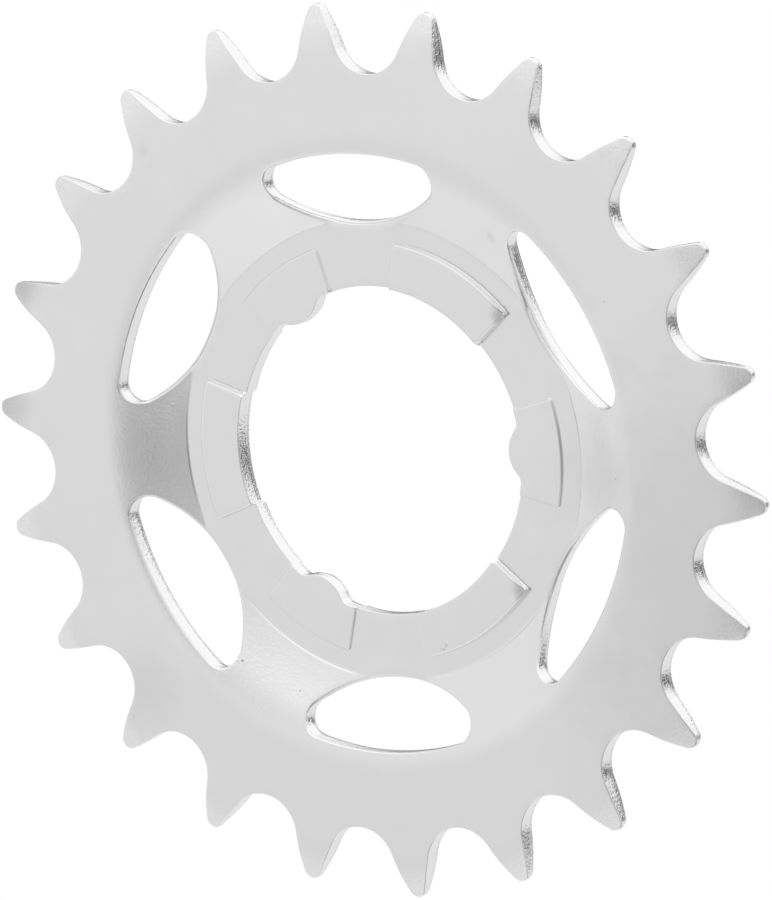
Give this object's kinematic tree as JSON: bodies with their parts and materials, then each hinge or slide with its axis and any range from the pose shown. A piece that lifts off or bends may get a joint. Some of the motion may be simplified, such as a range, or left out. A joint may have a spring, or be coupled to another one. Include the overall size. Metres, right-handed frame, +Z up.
{
  "type": "hub gear sprocket",
  "caption": "Dished one-piece steel sprocket for an internal-gear bicycle hub, with a three-lug bore, raised pads round it and lens-shaped windows.",
  "frame": {"origin": "on the spin axis, in the mid-plane of the tooth ring", "axes": "Y is the spin axis, the front face looks along -Y and the hub land is dished towards +Y; +X is to the right seen from the front; +Z is up"},
  "size_m": [0.0952, 0.0056, 0.0944],
  "materials": {
    "plated_steel": "bright zinc or nickel plate over stamped steel, satin"
  },
  "bodies": {
    "root": {"sprocket": "plated_steel"}
  },
  "joints": []
}
